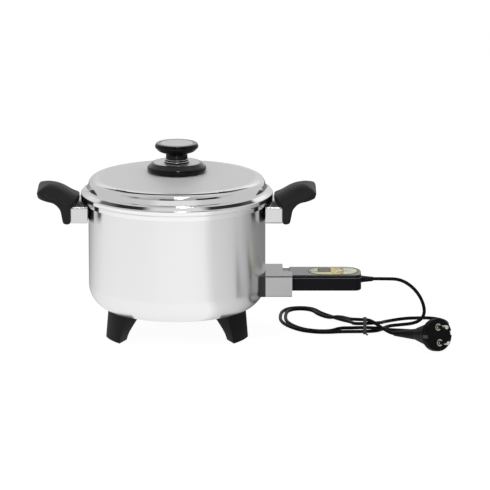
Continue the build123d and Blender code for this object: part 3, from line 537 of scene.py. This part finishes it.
def flat_ring(name, half_length, half_width, width, height, place, facing=(0, 0, 1)):
    """A flat ring with round ends, lying at a place and facing a way."""
    piece = start(
        name,
        bpy.ops.mesh.primitive_circle_add,
        vertices=ROUND_STEPS,
        radius=half_width * MM,
        fill_type="NGON",
    )
    straight = (half_length - half_width) * MM
    if straight:
        for side in (-1, 1):
            pick_corners(piece, lambda co: co.x * side > MERGE_DISTANCE * MM)
            bpy.ops.transform.translate(value=(side * straight, 0, 0))
    bpy.ops.object.mode_set(mode="EDIT")
    bpy.ops.mesh.select_mode(type="FACE")
    bpy.ops.mesh.select_all(action="SELECT")
    bpy.ops.mesh.inset(thickness=width * MM)
    bpy.ops.mesh.delete(type="FACE")
    bpy.ops.object.mode_set(mode="OBJECT")
    apply_modifier(piece, "SOLIDIFY", thickness=height * MM, offset=1)
    piece.location = Vector(place) * MM
    piece.rotation_euler = Vector(facing).to_track_quat("Z", "Y").to_euler()
    return settle(piece)


def round_ring(name, radius, width, height, place, facing=(0, 0, 1)):
    return flat_ring(name, radius, radius, width, height, place, facing)


def raised_bars(name, place, height, bars):
    """Bevelled bars that stand on a face; each bar gives its middle and its size."""
    made = []
    for across, along, length, breadth in bars:
        middle = (place[0] + across, place[1] + along, place[2] + height / 2)
        bar = box(name, middle, (length, breadth, height))
        apply_modifier(bar, "BEVEL", width=BAR_BEVEL * height * MM, segments=2)
        made.append(bar)
    piece = join(made)
    piece.name = name
    return piece


def softened(node, name, voxel, passes, swells):
    """A moulded copy of a solid with rounded edges; each swell gives a spot, a move and a reach."""
    bpy.ops.object.select_all(action="DESELECT")
    piece = bpy.data.objects.new(name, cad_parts[node].data.copy())
    scene.collection.objects.link(piece)
    piece.select_set(True)
    bpy.context.view_layer.objects.active = piece
    bpy.ops.object.mode_set(mode="EDIT")
    bpy.ops.mesh.select_all(action="SELECT")
    bpy.ops.mesh.remove_doubles(threshold=MERGE_DISTANCE * MM)
    bpy.ops.object.mode_set(mode="OBJECT")
    apply_modifier(piece, "REMESH", mode="VOXEL", voxel_size=voxel * MM)
    for spot, move, reach in swells:
        middle = Vector(spot) * MM
        pick_corners(piece, lambda co: math.hypot(co.x - middle.x, co.z - middle.z) < SWELL_SPOT * MM)
        bpy.ops.transform.translate(
            value=Vector(move) * MM,
            use_proportional_edit=True,
            proportional_edit_falloff="SMOOTH",
            proportional_size=reach * MM,
        )
        bpy.ops.object.mode_set(mode="OBJECT")
    apply_modifier(piece, "SMOOTH", factor=0.5, iterations=passes)
    return piece


# Grips with rounded edges, a fuller crown and a fuller outer end
GRIP_VOXEL, GRIP_PASSES = 0.9, 30
CROWN_X, CROWN_Z, CROWN_LIFT, CROWN_REACH = 142, 184, 2.6, 17
TIP_X, TIP_Z, TIP_PUSH, TIP_DROP, TIP_REACH = 166, 186, 2.2, 1.6, 9
for side, way in (("left", -1), ("right", 1)):
    crown = ((way * CROWN_X, 0, CROWN_Z), (0, 0, CROWN_LIFT), CROWN_REACH)
    tip = ((way * TIP_X, 0, TIP_Z), (way * TIP_PUSH, 0, -TIP_DROP), TIP_REACH)
    grip = softened(f"{side}_grip", f"{side}_moulded_grip", GRIP_VOXEL, GRIP_PASSES, (crown, tip))
    hand_in(grip, handle_black, "pot")
    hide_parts(f"{side}_grip")

# Trim and marks on the control head's face plate
HEAD_TOP, TRIM_HEIGHT = 77.7, 0.2
PLATE_MIDDLE, PLATE_HALF_LENGTH, PLATE_HALF_WIDTH = 190.75, 29.7, 18.7
OUTLINE_WIDTH, OUTLINE_HEIGHT = 0.9, 0.25
BORDER_INSET, BORDER_WIDTH = 0.1, 1.1
plate_place = (PLATE_MIDDLE, 0, HEAD_TOP)
ring = flat_ring(
    "plate_outline",
    PLATE_HALF_LENGTH + OUTLINE_WIDTH,
    PLATE_HALF_WIDTH + OUTLINE_WIDTH,
    OUTLINE_WIDTH,
    OUTLINE_HEIGHT,
    plate_place,
)
hand_in(ring, outline_black, "control_head")
ring = flat_ring(
    "plate_border",
    PLATE_HALF_LENGTH - BORDER_INSET,
    PLATE_HALF_WIDTH - BORDER_INSET,
    BORDER_WIDTH,
    TRIM_HEIGHT,
    plate_place,
)
hand_in(ring, border_cream, "control_head")

POWER_PLACE = (167.05, 0.0)
POWER_SURROUND_RADIUS, POWER_SURROUND_WIDTH = 5.0, 0.7
CLUSTER_X, CLUSTER_Y, CLUSTER_REACH = 206.45, 0.0, 6.3
KEYS_SURROUND_RADIUS, KEYS_SURROUND_WIDTH = 11.4, 1.1
ring = round_ring(
    "power_surround", POWER_SURROUND_RADIUS, POWER_SURROUND_WIDTH, TRIM_HEIGHT, (*POWER_PLACE, HEAD_TOP)
)
hand_in(ring, outline_black, "control_head")
ring = round_ring(
    "keys_surround", KEYS_SURROUND_RADIUS, KEYS_SURROUND_WIDTH, TRIM_HEIGHT, (CLUSTER_X, CLUSTER_Y, HEAD_TOP)
)
hand_in(ring, cream_plastic, "control_head")

BEZEL_MIDDLE, BEZEL_BAR = 180.15, 0.9
BEZEL_SIDE_X, BEZEL_SIDE_Y, BEZEL_SIDE_LENGTH = 7.4, 6.0, 21.0
BEZEL_FRONT_Y, BEZEL_FRONT_LENGTH = -4.5, 15.7
bezel_bars = [(side * BEZEL_SIDE_X, BEZEL_SIDE_Y, BEZEL_BAR, BEZEL_SIDE_LENGTH) for side in (-1, 1)]
bezel_bars.append((0, BEZEL_FRONT_Y, BEZEL_FRONT_LENGTH, BEZEL_BAR))
bezel = raised_bars("display_bezel", (BEZEL_MIDDLE, 0, HEAD_TOP), TRIM_HEIGHT, bezel_bars)
hand_in(bezel, outline_black, "control_head")

MARKS_PLACE, MARK_HEIGHT = (191.6, 2.0, HEAD_TOP), 0.15
MARK_LENGTH, MARK_BREADTH, MARK_PITCH, FIRST_MARK, MARK_COUNT = 3.4, 1.3, 4, -9, 6
mark_bars = [(0, FIRST_MARK + MARK_PITCH * step, MARK_LENGTH, MARK_BREADTH) for step in range(MARK_COUNT)]
marks = raised_bars("level_marks", MARKS_PLACE, MARK_HEIGHT, mark_bars)
hand_in(marks, mark_yellow, "control_head")

# Dark signs on the keys
KEY_TOP, SIGN_SUNK, SIGN_RING_WIDTH = 78.5, 0.05, 0.45


def key_sign(name, place, body, bars, ring_radius=0.0):
    """A dark sign on top of a key: bars, and a ring round them where a radius is given."""
    spot = (*place, KEY_TOP - SIGN_SUNK)
    sign = raised_bars(name, spot, MARK_HEIGHT, bars)
    if ring_radius:
        sign = join([sign, round_ring(name, ring_radius, SIGN_RING_WIDTH, MARK_HEIGHT, spot)])
    sign.name = name
    hand_in(sign, mark_dark, body)


level_bar, upright_bar = (0, 0, 3.0, 0.7), (0, 0, 0.7, 3.0)
clock_hands = [(0, 0.4, 0.4, 1.1), (0.35, 0, 0.9, 0.4)]
list_bars = [(0, y, 2.6, 0.45) for y in (-0.9, 0, 0.9)]
key_sign("power_sign", POWER_PLACE, "power_key", [(0, 1.5, 0.6, 2.0)], ring_radius=2.2)
key_sign("plus_sign", (CLUSTER_X + CLUSTER_REACH, CLUSTER_Y), "plus_key", [level_bar, upright_bar])
key_sign("minus_sign", (CLUSTER_X - CLUSTER_REACH, CLUSTER_Y), "minus_key", [level_bar])
key_sign("timer_sign", (CLUSTER_X, CLUSTER_Y + CLUSTER_REACH), "timer_key", clock_hands, ring_radius=1.7)
key_sign("mode_sign", (CLUSTER_X, CLUSTER_Y - CLUSTER_REACH), "mode_key", list_bars)

# Bead that runs round the control head below its top edge; its grey, lighter than the head's black, is a
# painted highlight for the light line along the shell's parting edge
HEAD_START, HEAD_END, HEAD_HALF = 136.95, 224.95, 24.2
BEAD_LEVEL, BEAD_RADIUS = 74.0, 0.35
NEAR_CORNER, FAR_CORNER = 8.0, 20.0
bead = start("head_highlight_bead", bpy.ops.mesh.primitive_plane_add, size=1)
bead.location = ((HEAD_START + HEAD_END) / 2 * MM, 0, BEAD_LEVEL * MM)
bead.scale = ((HEAD_END - HEAD_START) * MM, 2 * HEAD_HALF * MM, 1)
settle(bead)
for side, corner_round in ((-1, NEAR_CORNER), (1, FAR_CORNER)):
    pick_corners(
        bead,
        lambda co: co.x > (HEAD_END - PICK_SLACK) * MM and co.y * side > (HEAD_HALF - PICK_SLACK) * MM,
    )
    bpy.ops.mesh.bevel(offset=corner_round * MM, affect="VERTICES", segments=12)
bpy.ops.mesh.select_all(action="SELECT")
bpy.ops.mesh.delete(type="ONLY_FACE")
bpy.ops.object.mode_set(mode="OBJECT")
bpy.ops.object.convert(target="CURVE")
bead.data.bevel_depth = BEAD_RADIUS * MM
bead.data.bevel_resolution = 2
bpy.ops.object.convert(target="MESH")
hand_in(bead, highlight_bead_grey, "control_head")

# Seal between the socket guard and the round wall, cut to the wall's form
WALL_RADIUS, WALL_BOTTOM, WALL_CORNER, WALL_TOP = 108.0, 33.2, 31.0, 100.0
GUARD_BACK, GUARD_END, GUARD_HALF, GUARD_LOW, GUARD_HIGH = 108.15, 140.55, 35.0, 53.0, 79.0
SEAL_SETBACK, SEAL_DEPTH, SEAL_INSET = 7.55, 15, 0.4
OPENING_X, OPENING_DEPTH, OPENING_INSET = 100, 60, 7
wall = start(
    "wall_form",
    bpy.ops.mesh.primitive_cylinder_add,
    vertices=256,
    radius=WALL_RADIUS * MM,
    depth=(WALL_TOP - WALL_BOTTOM) * MM,
    location=(0, 0, (WALL_TOP + WALL_BOTTOM) / 2 * MM),
)
settle(wall)
pick_corners(wall, lambda co: co.z < (WALL_BOTTOM + PICK_SLACK) * MM)
bpy.ops.mesh.select_mode(type="EDGE")
bpy.ops.mesh.bevel(offset=WALL_CORNER * MM, segments=16)
bpy.ops.object.mode_set(mode="OBJECT")
guard_width, guard_height, guard_middle = 2 * GUARD_HALF, GUARD_HIGH - GUARD_LOW, (GUARD_LOW + GUARD_HIGH) / 2
inside = box(
    "seal_inside",
    (OPENING_X, 0, guard_middle),
    (OPENING_DEPTH, guard_width - OPENING_INSET, guard_height - OPENING_INSET),
)
seal = box(
    "guard_seal",
    (GUARD_BACK - SEAL_SETBACK, 0, guard_middle),
    (SEAL_DEPTH, guard_width - SEAL_INSET, guard_height - SEAL_INSET),
)
for form in (inside, wall):
    apply_modifier(seal, "BOOLEAN", operation="DIFFERENCE", object=form, solver="EXACT")
    bpy.data.objects.remove(form)
hand_in(seal, seal_grey, "pot")

# Dark fold along the guard's front top edge
FOLD_RADIUS, FOLD_INSET, FOLD_BEVEL = 0.45, 0.6, 0.15
fold = start(
    "guard_fold",
    bpy.ops.mesh.primitive_cylinder_add,
    vertices=16,
    radius=FOLD_RADIUS * MM,
    depth=(GUARD_END - GUARD_BACK - FOLD_INSET) * MM,
)
fold.location = Vector(((GUARD_BACK + GUARD_END) / 2, FOLD_INSET - GUARD_HALF, GUARD_HIGH - FOLD_INSET)) * MM
fold.rotation_euler = (0, math.pi / 2, 0)
settle(fold)
apply_modifier(fold, "BEVEL", width=FOLD_BEVEL * MM, segments=2)
hand_in(fold, seal_grey, "pot")

# Bright collars round the roots of the plug's pins
PLUG_FACE = Vector((317.0, -97.0, 21.4))
PLUG_FACING = Vector((0.55467, -0.81118, 0.18526))
PIN_OFFSET = Vector((-0.99, 1.45, 9.34))
COLLAR_RADIUS, COLLAR_WIDTH, COLLAR_HEIGHT = 4.2, 1.0, 0.25
collars = []
for side in (-1, 1):
    root = PLUG_FACE + side * PIN_OFFSET
    collars.append(round_ring("pin_collars", COLLAR_RADIUS, COLLAR_WIDTH, COLLAR_HEIGHT, root, PLUG_FACING))
hand_in(join(collars), nickel, "control_head")

# Thin steel rings round the foot of the knob's neck, each with its radius and level
NECK_RINGS = ((13.3, 218.0), (15.0, 216.0))
NECK_RING_THICKNESS = 0.42
bands = []
for radius, level in NECK_RINGS:
    band = start(
        "neck_rings",
        bpy.ops.mesh.primitive_torus_add,
        major_segments=ROUND_STEPS,
        minor_segments=12,
        major_radius=radius * MM,
        minor_radius=NECK_RING_THICKNESS * MM,
        location=(0, 0, level * MM),
    )
    bands.append(settle(band))
hand_in(join(bands), rim_steel, "knob")

# Floor: white to the camera with a faint shadow, and in reflections a grey that changes round the pot
SEEN_WHITE = 1.05
FLOOR_SIZE, FLOOR_GREY, FLOOR_GLOW = 8, 0.9, 0.9
FLOOR_LEVELS = [
    (0.05, 0.22),
    (0.09, 0.34),
    (0.16, 0.72),
    (0.22, 0.93),
    (0.30, 1.01),
    (0.50, 1.06),
    (0.59, 1.07),
    (0.62, 0.76),
    (0.66, 0.70),
    (0.70, 0.62),
    (0.735, 0.52),
    (0.775, 0.33),
    (0.82, 0.18),
    (0.90, 0.14),
]
floor = start("studio_floor", bpy.ops.mesh.primitive_plane_add, size=FLOOR_SIZE, location=(0, 0, 0))
material, shader = new_material("studio_floor")
across, along, _ = parts_of(shader, in_object(shader))
round_the_pot = share_of_turn(across.angle(0.0 - along)).ramp(FLOOR_LEVELS)
camera_ray, glossy_ray, clear_ray = rays(shader)
seen = camera_ray.top(clear_ray)
tint = shader.blend(seen, round_the_pot, opaque(SEEN_WHITE))
glow = shader.node("ShaderNodeEmission", None, Color=tint, Strength=1.0)
matt = shader.node("ShaderNodeBsdfDiffuse", None, Color=opaque(FLOOR_GREY))
mix = shader.node("ShaderNodeMixShader", None, seen.top(glossy_ray) * FLOOR_GLOW, matt, glow)
shader.node("ShaderNodeOutputMaterial", None, mix)
floor.data.materials.append(material)

# World: white to the camera, a studio of soft greys in reflections, plain light elsewhere
PLAIN_LIGHT = 0.75
OVERHEAD_LEVELS = [
    (0.0, 0.86),
    (0.19, 0.82),
    (0.24, 0.45),
    (0.40, 0.52),
    (0.50, 0.62),
    (0.58, 0.84),
    (0.615, 0.84),
    (0.63, 0.03),
    (0.77, 0.03),
    (0.79, 0.95),
    (0.85, 1.0),
    (0.875, 0.86),
    (0.93, 0.72),
    (1.0, 0.70),
]
OVERHEAD_BACK = 0.5
BACK_LEFT_TO_RIGHT = (-0.5, 0.5, 0.82, 1.04)
OVERHEAD_EDGE, OVERHEAD_SIDES = (0.36, 0.56), 0.64
SCREEN_LEVELS = [
    (0.300, 0.46),
    (0.314, 0.22),
    (0.345, 0.22),
    (0.352, 0.44),
    (0.430, 0.40),
    (0.437, 0.07),
    (0.490, 0.07),
    (0.497, 0.46),
    (0.575, 0.42),
    (0.583, 0.015),
    (0.668, 0.015),
    (0.680, 0.48),
]
SCREENS_LOW, SCREENS_HIGH = 0.36, 0.66
ROOM_EDGE, ROOM_SIDES = (0.72, 0.92), 0.62
LEAST_HEIGHT, LAMP_LOWEST = 0.05, 0.1
LAMP_SIDE, LAMP_FRONT, LAMP_LEVEL = (-0.04, 0.20), (0.21, 1.0), 2
BULB_SIDE, BULB_FRONT, BULB_LEVEL = (0.03, 0.14), (0.35, 0.7), 14

world = bpy.data.worlds.new("studio")
scene.world = world
world.use_nodes = True
shader = Shader(world.node_tree)
sideways, depth, height = parts_of(shader, shader.node("ShaderNodeTexCoord", out="Generated"))
ahead = 0.0 - depth
rise = height.angle(ahead) / math.pi
turn = share_of_turn(sideways.angle(ahead))
overhead = rise.ramp(OVERHEAD_LEVELS)
overhead = shader.blend(rise.above(OVERHEAD_BACK), overhead, overhead * sideways.slide(*BACK_LEFT_TO_RIGHT))
overhead = shader.blend(sideways.size().slide(*OVERHEAD_EDGE), overhead, opaque(OVERHEAD_SIDES))
screens = turn.ramp(SCREEN_LEVELS)
room = shader.blend(height.between(SCREENS_LOW, SCREENS_HIGH) * ahead.above(0.0), overhead, screens)
room = shader.blend(sideways.size().slide(*ROOM_EDGE), room, opaque(ROOM_SIDES))
lamp_height = height.top(LEAST_HEIGHT)
lamp_side = sideways / lamp_height
lamp_front = ahead / lamp_height
for across_range, front_range, level in (
    (LAMP_SIDE, LAMP_FRONT, LAMP_LEVEL),
    (BULB_SIDE, BULB_FRONT, BULB_LEVEL),
):
    lit_area = lamp_side.between(*across_range) * lamp_front.between(*front_range) * height.above(LAMP_LOWEST)
    room = shader.blend(lit_area, room, opaque(level))
camera_ray, glossy_ray, clear_ray = rays(shader)
plain = shader.node("ShaderNodeBackground", None, Color=opaque(1), Strength=PLAIN_LIGHT)
white = shader.node("ShaderNodeBackground", None, Color=opaque(1), Strength=SEEN_WHITE)
studio = shader.node("ShaderNodeBackground", None, Color=room, Strength=1.0)
lit = shader.node("ShaderNodeMixShader", None, glossy_ray, plain, studio)
lit = shader.node("ShaderNodeMixShader", None, camera_ray.top(clear_ray), lit, white)
shader.node("ShaderNodeOutputWorld", None, lit)


def softbox(name, place, target, size, power):
    """A square soft lamp aimed at a point and left out of reflections."""
    lamp = bpy.data.lights.new(name, "AREA")
    lamp.size = size
    lamp.energy = power
    holder = bpy.data.objects.new(name, lamp)
    scene.collection.objects.link(holder)
    holder.location = place
    holder.rotation_euler = (Vector(target) - Vector(place)).to_track_quat("-Z", "Y").to_euler()
    holder.visible_glossy = False


LAMP_TARGET, LAMP_POWER = (0.05, 0, 0.1), 9
softbox("top_softbox", (0.0, -0.3, 1.6), LAMP_TARGET, 1.2, LAMP_POWER)
softbox("front_softbox", (-0.9, -1.6, 1.1), LAMP_TARGET, 0.8, LAMP_POWER)

# Camera, set to the photograph's view
VIEW_TARGET = Vector((0.0831, 0.0, 0.1103))
VIEW_RISE = math.radians(13.0)
VIEW_DISTANCE = 5.5
VIEW_SPAN = 0.599
SENSOR_WIDTH = 36
FAR_CLIP = 50
camera_data = bpy.data.cameras.new("camera")
camera = bpy.data.objects.new("camera", camera_data)
scene.collection.objects.link(camera)
sight = Vector((0, math.cos(VIEW_RISE), -math.sin(VIEW_RISE)))
camera.location = VIEW_TARGET - sight * VIEW_DISTANCE
camera.rotation_euler = sight.to_track_quat("-Z", "Y").to_euler()
camera_data.sensor_width = SENSOR_WIDTH
camera_data.lens = SENSOR_WIDTH * VIEW_DISTANCE / VIEW_SPAN
camera_data.clip_end = FAR_CLIP
scene.camera = camera
